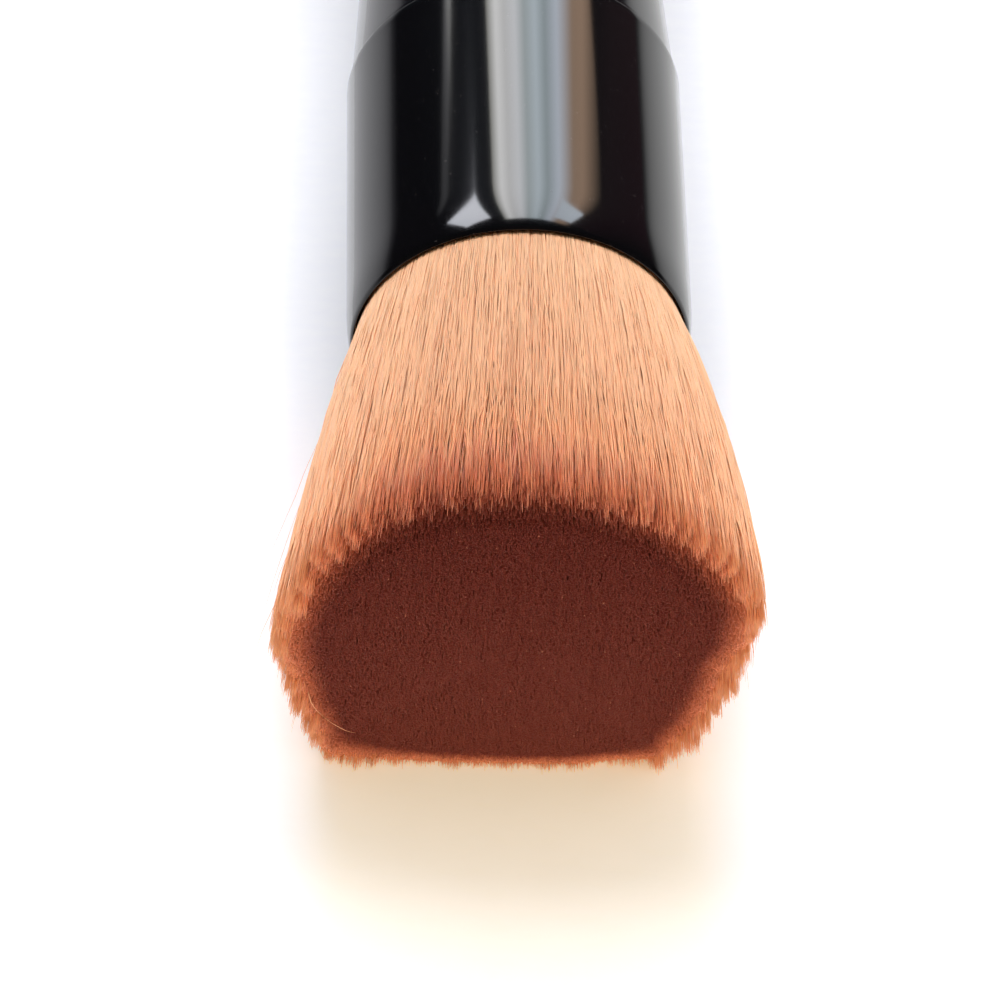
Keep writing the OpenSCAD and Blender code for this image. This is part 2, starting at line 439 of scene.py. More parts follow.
@dataclass(frozen=True)
class CottonPaper(Finish):
    """Thick uncoated paper under the brush: matt, with a faint felt texture and long fibres."""

    felt: float = 1.1
    felt_depth: float = 0.05
    felt_stretch: float = 2.2
    felt_turn: float = 0.35
    # Glow colours: beside is painted shade next to the tube, before is painted warm bounce light in front
    # of the head, around is the even white farther out.
    beside: tuple[float, float, float, float] = (0.10, 0.118, 0.155, 1.0)
    before: tuple[float, float, float, float] = (0.28, 0.235, 0.135, 1.0)
    around: tuple[float, float, float, float] = (0.24, 0.26, 0.28, 1.0)
    front: tuple[float, float] = (-40.0, -55.0)
    reach: tuple[float, float] = (14.5, 20.0)
    inset: float = 3.2

    def detail(self, tree: bpy.types.NodeTree, shader: bpy.types.Node) -> None:
        """Adds the felt texture, and a glow for rays that see the paper directly.

        The glow paints light and shade: a warm painted bounce light in front of the head, a dimmer, cooler
        painted shade beside the tube, and even white farther out.

        Args:
            tree: The material's node tree.
            shader: Its Principled node.
        """
        felt = object_noise(
            tree, (self.felt * self.felt_stretch, self.felt, self.felt), 4.0, self.felt_turn
        )
        tone = add_node(tree, "MapRange", None, {
            "Value": felt, "From Min": 0.3, "From Max": 0.7, "To Min": 0.975, "To Max": 1.01,
        })
        colour = add_node(tree, "HueSaturation", None, {"Color": linear(self.colour), "Value": tone})
        bump = add_node(tree, "Bump", None, {
            "Height": felt, "Strength": 0.5, "Distance": self.felt_depth * MM,
        })

        # Mask of the painted light and shade: warm bounce in front of the head, shade beside the tube,
        # fading to even white farther out.
        where = add_node(tree, "TexCoord")
        split = add_node(tree, "SeparateXYZ", None, {"Vector": where.outputs["Object"]})
        painted_bounce_mask = add_node(tree, "MapRange", {"interpolation_type": "SMOOTHSTEP"}, {
            "Value": split.outputs["Y"], "From Min": self.front[0] * MM, "From Max": self.front[1] * MM,
        })
        across = add_node(tree, "Math", {"operation": "ABSOLUTE"}, {0: split.outputs["X"]})
        side = add_node(tree, "Math", {"operation": "MULTIPLY_ADD"}, {
            0: painted_bounce_mask, 1: self.inset * MM, 2: across,
        })
        painted_light_fade = add_node(tree, "MapRange", {"interpolation_type": "SMOOTHSTEP"}, {
            "Value": side, "From Min": self.reach[0] * MM, "From Max": self.reach[1] * MM,
        })
        near = add_node(tree, "Mix", {"data_type": "RGBA"}, {
            "Factor": painted_bounce_mask, 6: self.beside, 7: self.before,
        })
        glow = add_node(tree, "Mix", {"data_type": "RGBA"}, {
            "Factor": painted_light_fade, 6: near.outputs[2], 7: self.around,
        })
        set_inputs(tree, shader, {
            "Base Color": colour, "Normal": bump, "Specular IOR Level": 0.0,
            "Emission Color": glow.outputs[2], "Emission Strength": direct_rays(tree),
        })


@dataclass
class HeadForm:
    """Shape of the head: a round section at the roots that opens to the pressed, uneven face."""

    axis_z: float
    mouth: float
    face: float
    root_radius: float = 11.3
    root_depth: float = 0.6
    lean: float = -0.8
    press_gap: float = 0.5
    lowest: float = 0.05
    rim_radii: tuple[tuple[float, float], ...] = (
        (-180, 16.2), (-165, 15.7), (-150, 15.9), (-135, 17.2), (-120, 17.1), (-90, 17.0), (-60, 16.3),
        (-48, 16.25), (-38, 15.4), (-20, 15.0), (-5, 14.9), (8, 16.1), (20, 16.8), (35, 16.3),
        (60, 15.8), (90, 15.6), (115, 15.8), (140, 16.0), (160, 16.1), (180, 16.2),
    )
    bow: float = 0.3
    bow_left: float = 0.2
    bow_right: float = 0.75

    @property
    def length(self) -> float:
        """Length of the strands from their roots to the face."""
        return self.mouth - self.face + self.root_depth

    def outline(self, turn: np.ndarray) -> np.ndarray:
        """Radius of the slack, uneven rim at each turn about the axis."""
        return between(self.rim_radii, np.degrees(turn))[..., 0]

    def bulge(self, turn: np.ndarray) -> np.ndarray:
        """Outward bow of the flank at each turn, most on the right and least above."""
        right = np.exp(-((turn / math.radians(50)) ** 2))
        left = np.exp(-(((np.abs(turn) - np.pi) / math.radians(50)) ** 2))
        return self.bow + self.bow_right * right + self.bow_left * left

    def place(self, across: np.ndarray, up: np.ndarray, along: np.ndarray, fall: np.ndarray) -> np.ndarray:
        """Places points of the unit disc on the head's sections.

        Args:
            across: Place on the unit disc from left to right.
            up: Place on the unit disc from below to above.
            along: Share of the way from the roots to the face.
            fall: Distance in millimetres by which the point stands back from that place.

        Returns:
            The points in metres, with one axis more than the arguments.
        """
        turn = np.arctan2(up, across)
        spread = self.root_radius + (self.outline(turn) - self.root_radius) * along
        spread = spread + 4 * self.bulge(turn) * along * (1 - along)
        x = spread * across
        rise = spread * up
        half = np.sqrt(np.maximum(spread**2 - x**2, 1e-6))
        room = self.axis_z + self.press_gap
        squeeze = np.where((rise < 0) & (half > room), room / half, 1.0)
        z = np.maximum(self.axis_z + rise * squeeze, self.lowest)
        y = self.mouth + self.root_depth - self.length * along + fall
        return np.stack([x + self.lean * along, y, z], axis=-1) * MM


@dataclass
class Strands:
    """Many strands with the same number of joints."""

    points: np.ndarray
    girths: np.ndarray
    heights: np.ndarray
    columns: np.ndarray
    map_columns: int = 128
    sides: int = 3

    def part(self, start: int, end: int) -> "Strands":
        """The strands from one number to another."""
        return Strands(
            self.points[start:end], self.girths[start:end], self.heights[start:end],
            self.columns[start:end],
        )

    def mesh(self, name: str, rng: np.random.Generator) -> bpy.types.Mesh:
        """Builds the strands as closed prisms that taper with their girths.

        Args:
            name: The mesh's name.
            rng: Source of the turn of each strand's section.

        Returns:
            The mesh, with the strand map.
        """
        count, joints, _ = self.points.shape
        corner = np.arange(self.sides)
        turns = rng.uniform(0, 2 * np.pi, (count, 1, 1)) + corner * 2 * np.pi / self.sides
        off = np.stack([np.cos(turns), np.zeros_like(turns), np.sin(turns)], axis=-1)
        ring = self.points[:, :, None, :] + self.girths[:, :, None, None] * MM * off
        vertices = ring.reshape(-1, 3)
        vertices[:, 2] = np.maximum(vertices[:, 2], 0)

        base = (np.arange(count) * joints * self.sides)[:, None, None, None]
        low = (np.arange(joints - 1) * self.sides)[None, :, None, None]
        this = corner[None, None, :, None]
        following = (this + 1) % self.sides
        up = low + self.sides
        square = np.concatenate([low + this, low + following, up + following, up + this], axis=-1)
        square = (base + square).reshape(-1, 4)
        walls = np.concatenate([square[:, [0, 1, 2]], square[:, [0, 2, 3]]], axis=1).reshape(-1, 3)

        column = np.repeat(self.columns, (joints - 1) * self.sides)
        left = (column + 0.2) / self.map_columns
        right = (column + 0.8) / self.map_columns
        lower = np.repeat(self.heights[:, :-1], self.sides, axis=1).reshape(-1)
        upper = np.repeat(self.heights[:, 1:], self.sides, axis=1).reshape(-1)
        walls_by_corner = (
            (left, lower), (right, lower), (right, upper), (left, lower), (right, upper), (left, upper),
        )
        wall_map = np.stack([np.stack(pair, axis=-1) for pair in walls_by_corner], axis=1)

        first = (np.arange(count) * joints * self.sides)[:, None]
        last = first + (joints - 1) * self.sides
        roots = first + corner[::-1][None, :]
        tips = last + corner[None, :]
        caps = np.concatenate([roots, tips])
        cap_columns = np.concatenate([self.columns, self.columns])
        cap_heights = np.concatenate([self.heights[:, 0], self.heights[:, -1]])
        cap_left = (cap_columns + 0.2) / self.map_columns
        cap_right = (cap_columns + 0.8) / self.map_columns
        inward = np.concatenate([self.heights[:, 0] + 0.01, self.heights[:, -1] - 0.01])
        caps_by_corner = ((cap_left, cap_heights), (cap_right, cap_heights), (cap_right, inward))
        cap_map = np.stack([np.stack(pair, axis=-1) for pair in caps_by_corner], axis=1)

        faces = np.concatenate([walls, caps])
        places = np.clip(np.concatenate([wall_map.reshape(-1, 2), cap_map.reshape(-1, 2)]), 0.001, 0.999)
        return triangle_mesh(name, vertices, faces, places)


def triangle_mesh(
    name: str,
    vertices: np.ndarray,
    faces: np.ndarray,
    places: np.ndarray | None = None,
) -> bpy.types.Mesh:
    """Makes a smooth mesh of triangles.

    Args:
        name: The mesh's name.
        vertices: Points in metres.
        faces: Three vertex numbers for each triangle.
        places: Map places, one for each corner of each triangle.

    Returns:
        The mesh.
    """
    mesh = bpy.data.meshes.new(name)
    mesh.vertices.add(len(vertices))
    mesh.vertices.foreach_set("co", np.ascontiguousarray(vertices, np.float32).ravel())
    mesh.loops.add(3 * len(faces))
    mesh.loops.foreach_set("vertex_index", np.ascontiguousarray(faces, np.int32).ravel())
    mesh.polygons.add(len(faces))
    mesh.polygons.foreach_set("loop_start", np.arange(len(faces), dtype=np.int32) * 3)
    mesh.polygons.foreach_set("use_smooth", np.ones(len(faces), bool))
    if places is not None:
        layer = mesh.uv_layers.new(name=BAKE_MAP)
        layer.uv.foreach_set("vector", np.ascontiguousarray(places, np.float32).ravel())
    mesh.update(calc_edges=True)
    return mesh


def add_object(name: str, data: bpy.types.Mesh | bpy.types.Camera) -> bpy.types.Object:
    """Puts a mesh or a camera in the scene.

    Args:
        name: The object's name.
        data: The mesh or the camera.

    Returns:
        The object.
    """
    added = bpy.data.objects.new(name, data)
    bpy.context.scene.collection.objects.link(added)
    return added


def add_sheet(name: str, width: float, height: float) -> bpy.types.Object:
    """Puts a flat rectangle in the scene.

    Args:
        name: The name of the object and of its mesh.
        width: Its size along its own X, in metres.
        height: Its size along its own Y, in metres.

    Returns:
        The rectangle.
    """
    corners = ((-0.5, -0.5), (0.5, -0.5), (0.5, 0.5), (-0.5, 0.5))
    vertices = np.array([(x * width, y * height, 0.0) for x, y in corners])
    return add_object(name, triangle_mesh(name, vertices, np.array([(0, 1, 2), (0, 2, 3)])))


def place_piece(
    name: str,
    mesh: bpy.types.Mesh,
    finish: Finish,
    nodes: Sequence[str] = (),
) -> bpy.types.Object:
    """Puts a piece in the scene and ties it to the frame.

    Args:
        name: The piece's name.
        mesh: Its mesh in metres.
        finish: Its finish.
        nodes: Nodes of the frame that it stands for.

    Returns:
        The piece.
    """
    piece = add_object(name, mesh)
    mesh.materials.append(finish.material())
    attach(piece, "root")
    if nodes:
        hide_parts(*nodes)
    log.info("%s: %d faces, %s", name, len(mesh.polygons), finish.name)
    return piece


@dataclass
class Tuft:
    """The head: a packed core, the long strands round it and the short tips of the face."""

    form: HeadForm
    seed: int = 41
    rim: float = 16.3
    shell_count: int = 10500
    shell_depth: float = 1.3
    shell_joints: int = 16
    face_count: int = 62000
    face_start: float = 0.95
    stray_count: int = 60
    girth: float = 0.052
    clump_widths: tuple[float, float] = (0.6, 2.3)
    dome: float = 0.25
    # Turn, set-back, raggedness, share painted paler and width of that zone at the rim. The paler share is
    # painted light that shines through the rim strands, most below and at the flanks.
    rims: tuple[tuple[float, ...], ...] = (
        (-180, 0.5, 2.4, 0.64, 4.0),
        (-150, 0.5, 2.0, 0.60, 3.6),
        (-128, 0.35, 0.7, 0.70, 2.8),
        (-105, 0.35, 0.2, 0.98, 2.5),
        (-75, 0.55, 0.2, 1.0, 2.6),
        (-58, 1.6, 0.25, 0.92, 3.0),
        (-45, 1.4, 0.9, 0.78, 3.2),
        (-35, 0.8, 1.8, 0.68, 3.6),
        (-10, 0.5, 2.6, 0.74, 4.0),
        (15, 0.5, 1.5, 0.62, 3.8),
        (40, 0.7, 0.9, 0.42, 3.6),
        (60, 0.8, 0.6, 0.27, 3.4),
        (90, 0.8, 0.6, 0.18, 3.2),
        (120, 1.0, 0.6, 0.15, 3.2),
        (145, 0.75, 1.0, 0.36, 3.6),
        (165, 0.5, 1.8, 0.62, 3.8),
        (180, 0.5, 2.4, 0.64, 4.0),
    )
    spread_under: float = 0.6
    spread_above: float = 2.2
    painted_rim_paling_fall: float = 2.0
    painted_rim_paling_reach: float = 0.5
    end_spread: float = 0.12
    top_spread: float = 1.5
    top_stretch: float = 0.085
    # Face tips painted paler towards the bottom: painted bounce light from the paper.
    painted_floor_bounce: float = 0.014
    streak_glow: float = 0.003
    tip_girth: float = 0.07
    slice_end: float = 3.0
    core_end: float = 0.955
    core_drop: float = 1.9
    least_pull: float = 0.12
    more_pull: float = 0.5
    most_pull: float = 0.58
    pull_from: float = 0.72
    splay_from: float = 0.6
    wedge_rise: float = 1.4
    wedge_power: float = 1.2
    wedge_level: float = 0.5
    widest_wedge: float = 1.4
    side_waves: tuple[tuple[float, float, float], ...] = ((5.0, 9.0, 0.03), (14.0, 34.0, 0.16))
    out_waves: tuple[tuple[float, float, float], ...] = ((4.0, 9.0, 0.02), (12.0, 30.0, 0.05))
    end_unevenness: float = 0.16
    end_unevenness_above: float = 0.22
    clump_unevenness: float = 0.6
    face_fill: float = 0.965
    tip_jitter: float = 0.0035
    tip_drift: float = 0.004
    tip_unevenness: float = 0.014
    streak_depth: float = 0.045
    slack_from: float = 0.78
    slack_width: float = 0.16
    # Share of face tips with a painted glint.
    painted_glint_share: float = 0.0015
    core_turns: int = 128
    core_rows: int = 24
    loose_paths: tuple[tuple[tuple[float, float, float], ...], ...] = (
        (
            (-14.3, -54.6, 7.9), (-14.05, -54.9, 7.1), (-13.58, -55.0, 6.35), (-13.02, -55.0, 5.65),
            (-12.53, -55.0, 5.15), (-11.97, -54.95, 4.65), (-11.48, -54.9, 4.25),
            (-10.93, -54.75, 3.95),
        ),
        (
            (-13.5, -35.0, 12.4), (-14.8, -38.76, 12.2), (-15.39, -40.86, 12.0), (-16.11, -43.13, 12.0),
            (-16.95, -45.84, 12.0),
        ),
        (
            (-15.0, -41.0, 11.6), (-15.64, -43.65, 12.0), (-16.28, -46.25, 12.0),
            (-16.92, -48.91, 12.0), (-17.4, -51.2, 12.0),
        ),
    )
    strands_in_piece: int = 1800
    tips_in_piece: int = 22000
    filament: DipDyedFilament = DipDyedFilament(
        "PBT filament, tapered and dip-dyed", "#E8B186", 0.42, 1.53,
    )
    cut: DipDyedFilament = DipDyedFilament(
        "PBT filament, dip-dyed tips", "#5F2722", 0.6, 1.53, height_spread=0.003, shade_low=0.965,
        shade_high=1.035, specular=0.08, through=0.1,
        dyed=(
            (0.4, "#F9BC93"), (0.6, "#F7B58C"), (0.74, "#F0A682"), (0.83, "#DE9378"),
            (0.9, "#C0735A"), (0.95, "#985243"), (0.985, "#713630"), (1.0, "#5F2722"),
        ),
    )
    packed: PackedFilament = PackedFilament("PBT filament, packed", "#A06842", 0.7, 1.53)

    def __post_init__(self) -> None:
        """Starts the source of the draws."""
        self.rng = np.random.default_rng(self.seed)

    def rim_at(self, turn: np.ndarray) -> tuple[np.ndarray, np.ndarray, np.ndarray, np.ndarray]:
        """Set-back, raggedness, share painted paler and width of that zone at the rim; the paler share is
        painted light that shines through the rim strands.
        """
        values = between(self.rims, np.degrees(turn))
        return values[..., 0], values[..., 1], values[..., 2], values[..., 3]

    def painted_rim_paling(self, turn: np.ndarray, below: np.ndarray, noise: float) -> np.ndarray:
        """Share of the dye's depth by which strands are painted paler, from their place: painted light
        that shines through the rim strands.

        Args:
            turn: Turn about the axis of each strand.
            below: Depth of each strand under the flank, in millimetres.
            noise: Spread of the strands about the share of their place.

        Returns:
            Shares from 0 to 1.
        """
        _, _, most, width = self.rim_at(turn)
        share = most * np.clip(1 - below / width, 0, 1) ** self.painted_rim_paling_fall
        return self.painted_rim_paling_reach * np.clip(share * (1 + self.rng.normal(0, noise, share.shape)), 0, 1)

    def fall_of(self, turn: np.ndarray, share: np.ndarray) -> np.ndarray:
        """Distance by which the face stands back at a turn and a share of its radius."""
        shoulder = self.rim_at(turn)[0]
        return self.dome * share**2 + shoulder * share**14

    def wander(
        self, count: int, along: np.ndarray, waves: Sequence[tuple[float, float, float]]
    ) -> np.ndarray:
        """Slow sideways waves of strands.

        Args:
            count: Number of strands.
            along: Shares of the strands' length, one for each joint.
            waves: Shortest and longest wave and their reach, in millimetres.

        Returns:
            Distances in millimetres, a row for each strand.
        """
        total = np.zeros((count, len(along)))
        for short, long, reach in waves:
            wave = self.rng.uniform(short, long, (count, 1))
            start = self.rng.uniform(0, 2 * np.pi, (count, 1))
            size = self.rng.normal(0, reach, (count, 1))
            total += size * np.sin(2 * np.pi * along[None, :] * self.form.length / wave + start)
        return total * smooth(along / 0.2)[None, :]

    def shell(self, count: int, depth: float, lift: float, thin: float) -> Strands:
        """Long strands round the outside of the head.

        Args:
            count: Number of strands.
            depth: Depth in millimetres over which they lie.
            lift: Most distance in millimetres by which their tips stand off.
            thin: Share of the usual girth.

        Returns:
            The strands.
        """
        form = self.form
        mouth = form.root_depth / form.length
        along = np.concatenate([[0.0], np.linspace(mouth, 1, self.shell_joints)])
        turn = (np.arange(count) + self.rng.uniform(0, 1, count)) * 2 * np.pi / count - np.pi
        under = smooth((-np.sin(turn) - 0.5) / 0.25)
        above = smooth((np.sin(turn) - 0.5) / 0.4)
        below = depth * self.rng.uniform(0, 1, count) ** 1.2 + 0.04
        _, ragged, _, _ = self.rim_at(turn)

        draw = np.random.default_rng(self.seed + 1)
        edges = np.cumsum(draw.uniform(*self.clump_widths, int(2 * np.pi * self.rim)))
        edges = edges[: np.searchsorted(edges, 2 * np.pi * self.rim) + 1]
        edges = np.concatenate([[0.0], edges / edges[-1]]) * 2 * np.pi - np.pi
        clump = np.clip(np.searchsorted(edges, turn, side="right") - 1, 0, len(edges) - 2)
        clump_draw = draw.uniform(0, 1, (3, len(edges)))
        width = edges[clump + 1] - edges[clump]
        centre = edges[clump] + (0.3 + 0.4 * clump_draw[0][clump]) * width
        off_centre = (turn - centre) / width
        most = self.least_pull + self.more_pull * clump_draw[1][clump]
        most = np.clip(most * (0.45 + 0.38 * ragged), 0, self.most_pull) * (1 - 0.6 * below / depth)
        pull = most[:, None] * smooth((along[None, :] - self.pull_from) / (1 - self.pull_from))
        sideways = self.wander(count, along, self.side_waves)
        outward = self.wander(count, along, self.out_waves)
        splay = self.rng.uniform(0, 1, count) ** 2 * lift
        outward += splay[:, None] * smooth((along[None, :] - self.splay_from) / (1 - self.splay_from)) ** 2

        radius = form.root_radius + (form.outline(turn)[:, None] - form.root_radius) * along[None, :]
        angle = turn[:, None] - (turn - centre)[:, None] * pull + sideways / radius
        deep = below[:, None] * (0.35 + 0.65 * along[None, :] ** 1.5)
        deep = deep + (0.35 * depth - deep) * 0.5 * pull
        share = (radius - deep + outward) / radius
        fall = self.fall_of(turn, 1 - below / self.rim)
        fall += self.rng.normal(0, 1, count) * (self.end_unevenness + self.end_unevenness_above * above)
        fall += self.spread_above * above * self.rng.uniform(0, 1, count) ** 2
        uneven = clump_draw[2][clump]
        fall += self.clump_unevenness * ragged * (uneven - 0.5)
        wedge = self.wedge_rise * np.abs(off_centre) ** self.wedge_power - self.wedge_level
        fall += ragged * np.minimum(width * self.rim, self.widest_wedge) * wedge * (1.35 - 0.8 * uneven)
        fall += 0.15 * under - self.spread_under * under * self.rng.uniform(0, 1, count) ** 2
        fall = fall[:, None] * smooth((along[None, :] - 0.5) / 0.5)
        points = form.place(share * np.cos(angle), share * np.sin(angle), along[None, :] + 0 * share, fall)

        taper = np.interp(along, [0, 0.15, 0.86, 1.0], [0.9, 1.0, 0.92, 0.2])
        girths = thin * self.girth * self.rng.uniform(0.75, 1.2, (count, 1)) * taper[None, :]
        # Strands at the rim are painted paler: painted light that shines through them.
        heights = along[None, :] - self.painted_rim_paling(turn, below, 0.3)[:, None]
        columns = self.filament.column(count, self.rng)
        order = self.rng.permutation(count)
        return Strands(points[order], girths[order], heights[order], columns[order])

    def tips(self) -> Strands:
        """Short strands that stand in the face.

        Returns:
            The strands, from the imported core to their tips.
        """
        form = self.form
        count = self.face_count
        number = np.arange(count)
        share = np.sqrt((number + 0.5) / count) * self.face_fill
        turn = number * math.pi * (3 - math.sqrt(5))
        above = smooth((np.sin(turn) - 0.1) / 0.5)
        stretch = self.top_stretch * above * smooth((share - 0.68) / 0.14)
        along = np.stack([self.face_start - stretch, np.ones(count)], axis=1)
        across = share * np.cos(turn) + self.rng.normal(0, self.tip_jitter, count)
        up = share * np.sin(turn) + self.rng.normal(0, self.tip_jitter, count)
        drift = self.rng.normal(0, self.tip_drift, (2, count))
        slope = np.array([0.0, 1.0])
        streak = self.streaks(across * self.rim, up * self.rim)
        fall = self.fall_of(turn, share) + self.rng.normal(0, self.tip_unevenness, count)
        fall += self.streak_depth * streak
        slack = smooth((share - self.slack_from) / self.slack_width)
        fall += self.end_spread * slack * np.abs(self.rng.normal(0, 1, count))
        fall += self.top_spread * slack * above * self.rng.uniform(0, 1, count) ** 1.4
        under = smooth((-np.sin(turn) - 0.5) / 0.25) * smooth((share - 0.85) / 0.12)
        fall -= 0.15 * self.spread_under * under * self.rng.uniform(0, 1, count)
        points = form.place(
            across[:, None] + drift[0][:, None] * slope[None, :],
            up[:, None] + drift[1][:, None] * slope[None, :], along, fall[:, None] * slope[None, :],
        )
        taper = np.array([1.25, 0.9])
        girths = self.tip_girth * self.rng.uniform(0.8, 1.25, (count, 1)) * taper[None, :]
        # The first term paints the face tips paler towards the bottom: painted bounce light from the
        # paper.
        paler = self.painted_floor_bounce * (1 - up) / 2 + self.streak_glow * streak
        # Tips at the rim are painted paler: painted light that shines through the rim strands.
        paler = np.maximum(paler, self.painted_rim_paling(turn, (1 - share) * self.rim, 0.08))
        heights = along - paler[:, None]
        # A few tips get the painted glint colour.
        painted_glint = self.rng.uniform(0, 1, count) < self.painted_glint_share
        columns = np.where(painted_glint, self.cut.painted_glint_column, self.cut.column(count, self.rng))
        order = self.rng.permutation(count)
        return Strands(points[order], girths[order], heights[order], columns[order])

    def loose(self) -> Strands:
        """Single hairs that left their place, one curled on the face and two beside the flank.

        Returns:
            The strands.
        """
        steps = np.linspace(0, 1, 14)
        paths = []
        for path in self.loose_paths:
            knots = np.array(path)
            at = np.concatenate([[0], np.cumsum(np.linalg.norm(np.diff(knots, axis=0), axis=1))])
            paths.append(np.stack([np.interp(steps, at / at[-1], knots[:, k]) for k in range(3)], axis=1))
        points = np.array(paths) * MM
        taper = np.interp(steps, [0, 0.5, 1], [0.9, 1.0, 0.35])
        thin = np.array([0.75] + [0.35] * (len(paths) - 1))[:, None]
        girths = thin * self.girth * taper[None, :]
        heights = np.tile(0.2 + 0.5 * steps, (len(paths), 1))
        columns = self.filament.column(len(paths), self.rng)
        return Strands(points, girths, heights, columns)

    def streaks(self, x: np.ndarray, z: np.ndarray) -> np.ndarray:
        """Faint upright streaks of the face, between -1 and 1, by place in millimetres."""
        rng = np.random.default_rng(self.seed + 2)
        total = np.zeros_like(x)
        for _ in range(14):
            wave = rng.uniform(0.5, 1.6)
            tilt = rng.normal(0, 0.06)
            start = rng.uniform(0, 2 * np.pi)
            slow = rng.uniform(4, 9)
            total += np.sin(
                2 * np.pi * (x + tilt * z) / wave + start + np.sin(2 * np.pi * z / slow + start),
            )
        return total / 14 * 2

    def core(self) -> bpy.types.Mesh:
        """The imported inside, from the slice in the ferrule to just behind the tips of the face.

        Returns:
            A closed mesh.
        """
        form = self.form
        turns = self.core_turns
        angle = np.arange(turns) * 2 * np.pi / turns
        drop = self.core_drop * smooth((np.sin(angle) - 0.1) / 0.5)
        sides = np.linspace(0, self.core_end, self.core_rows)
        rings = []
        back = form.place(np.cos(angle), np.sin(angle), 0 * angle, 0 * angle)
        back[:, 1] = (form.mouth + self.slice_end) * MM
        rings.append(back)
        for along in sides:
            inset = 1 - (0.3 + 0.9 * along**1.5) / self.rim
            fall = drop * smooth(np.array((along - 0.85) / 0.105))
            rings.append(
                form.place(inset * np.cos(angle), inset * np.sin(angle), along + 0 * angle, fall)
            )
        for share in np.linspace(0.9, 0.05, 12):
            inset = share * (1 - 1.2 / self.rim)
            forward = self.core_end + 0.022 * (1 - share**6)
            fall = drop * smooth(np.array((share - 0.72) / 0.18))
            rings.append(
                form.place(inset * np.cos(angle), inset * np.sin(angle), forward + 0 * angle, fall)
            )
        vertices = np.concatenate(rings)
        hub_back = len(vertices)
        hub_front = hub_back + 1
        vertices = np.concatenate([vertices, [rings[0].mean(0)], [rings[-1].mean(0)]])
        this = np.arange(turns)
        following = (this + 1) % turns
        faces = []
        for k in range(len(rings) - 1):
            low = k * turns
            high = low + turns
            faces.append(np.stack([low + this, low + following, high + following], axis=1))
            faces.append(np.stack([low + this, high + following, high + this], axis=1))
        end = (len(rings) - 1) * turns
        faces.append(np.stack([np.full(turns, hub_back), following, this], axis=1))
        faces.append(np.stack([np.full(turns, hub_front), end + this, end + following], axis=1))
        return triangle_mesh("tuft_core", vertices, np.concatenate(faces))

    def build(self) -> list[bpy.types.Object]:
        """Builds the head's pieces.

        Returns:
            The pieces.
        """
        pieces = [place_piece("tuft_core", self.core(), self.packed, ["bristles"])]
        shell = self.shell(self.shell_count, self.shell_depth, 0.35, 1.0)
        tips = self.tips()
        strays = self.shell(self.stray_count, 0.1, 1.5, 0.6)
        for label, strands, size, finish in (
            ("tuft_strands", shell, self.strands_in_piece, self.filament),
            ("tuft_tips", tips, self.tips_in_piece, self.cut),
            ("tuft_strays", strays, self.strands_in_piece, self.filament),
            ("tuft_loose_hairs", self.loose(), self.strands_in_piece, self.filament),
        ):
            for number, start in enumerate(range(0, len(strands.points), size)):
                name = f"{label}_{number + 1}"
                mesh = strands.part(start, start + size).mesh(name, self.rng)
                pieces.append(place_piece(name, mesh, finish, ["bristles"]))
        return pieces


@dataclass
class TurnedSkin:
    """A piece turned about the axis of the brush from a closed outline."""

    name: str
    node: str
    slot: str
    finish: Finish
    axis_z: float
    mouth: float
    steps: int = 224
    sharp_from: float = 32.0

    def outline(self) -> list[tuple[float, float]]:
        """Radius and place behind the mouth of each point of the outline, in millimetres."""
        raise NotImplementedError

    def build(self) -> bpy.types.Object:
        """Turns the outline and places the piece.

        Returns:
            The piece.
        """
        turn = np.arange(self.steps) * 2 * np.pi / self.steps
        vertices: list[np.ndarray] = []
        starts: list[tuple[int, bool]] = []
        total = 0
        for radius, behind in self.outline():
            on_axis = radius < 1e-6
            around = turn[:1] if on_axis else turn
            x = radius * np.sin(around)
            z = self.axis_z + radius * np.cos(around)
            ring = np.stack([x, np.full_like(x, self.mouth + behind), z], axis=1) * MM
            vertices.append(ring)
            starts.append((total, on_axis))
            total += len(ring)
        this = np.arange(self.steps)
        following = (this + 1) % self.steps
        faces = []
        for k, (low, low_axis) in enumerate(starts):
            high, high_axis = starts[(k + 1) % len(starts)]
            if low_axis and high_axis:
                continue
            if not high_axis:
                near = low + 0 * this if low_axis else low + this
                faces.append(np.stack([near, high + following, high + this], axis=1))
            if not low_axis:
                far = high + 0 * this if high_axis else high + following
                faces.append(np.stack([low + this, low + following, far], axis=1))
        mesh = triangle_mesh(self.name, np.concatenate(vertices), np.concatenate(faces))
        mesh.set_sharp_from_angle(angle=math.radians(self.sharp_from))
        return place_piece(self.name, mesh, self.finish, [self.node])


def arc(
    middle: tuple[float, float],
    radius: float,
    start: float,
    end: float,
    steps: int,
) -> list[tuple[float, float]]:
    """Points on an arc of an outline.

    Args:
        middle: Radius and place of the arc's centre, in millimetres.
        radius: The arc's radius.
        start: Angle of its first point, in degrees.
        end: Angle of its last point.
        steps: Number of pieces.

    Returns:
        The points, ends included.
    """
    angles = np.radians(np.linspace(start, end, steps + 1))
    return [(middle[0] + radius * math.cos(a), middle[1] + radius * math.sin(a)) for a in angles]


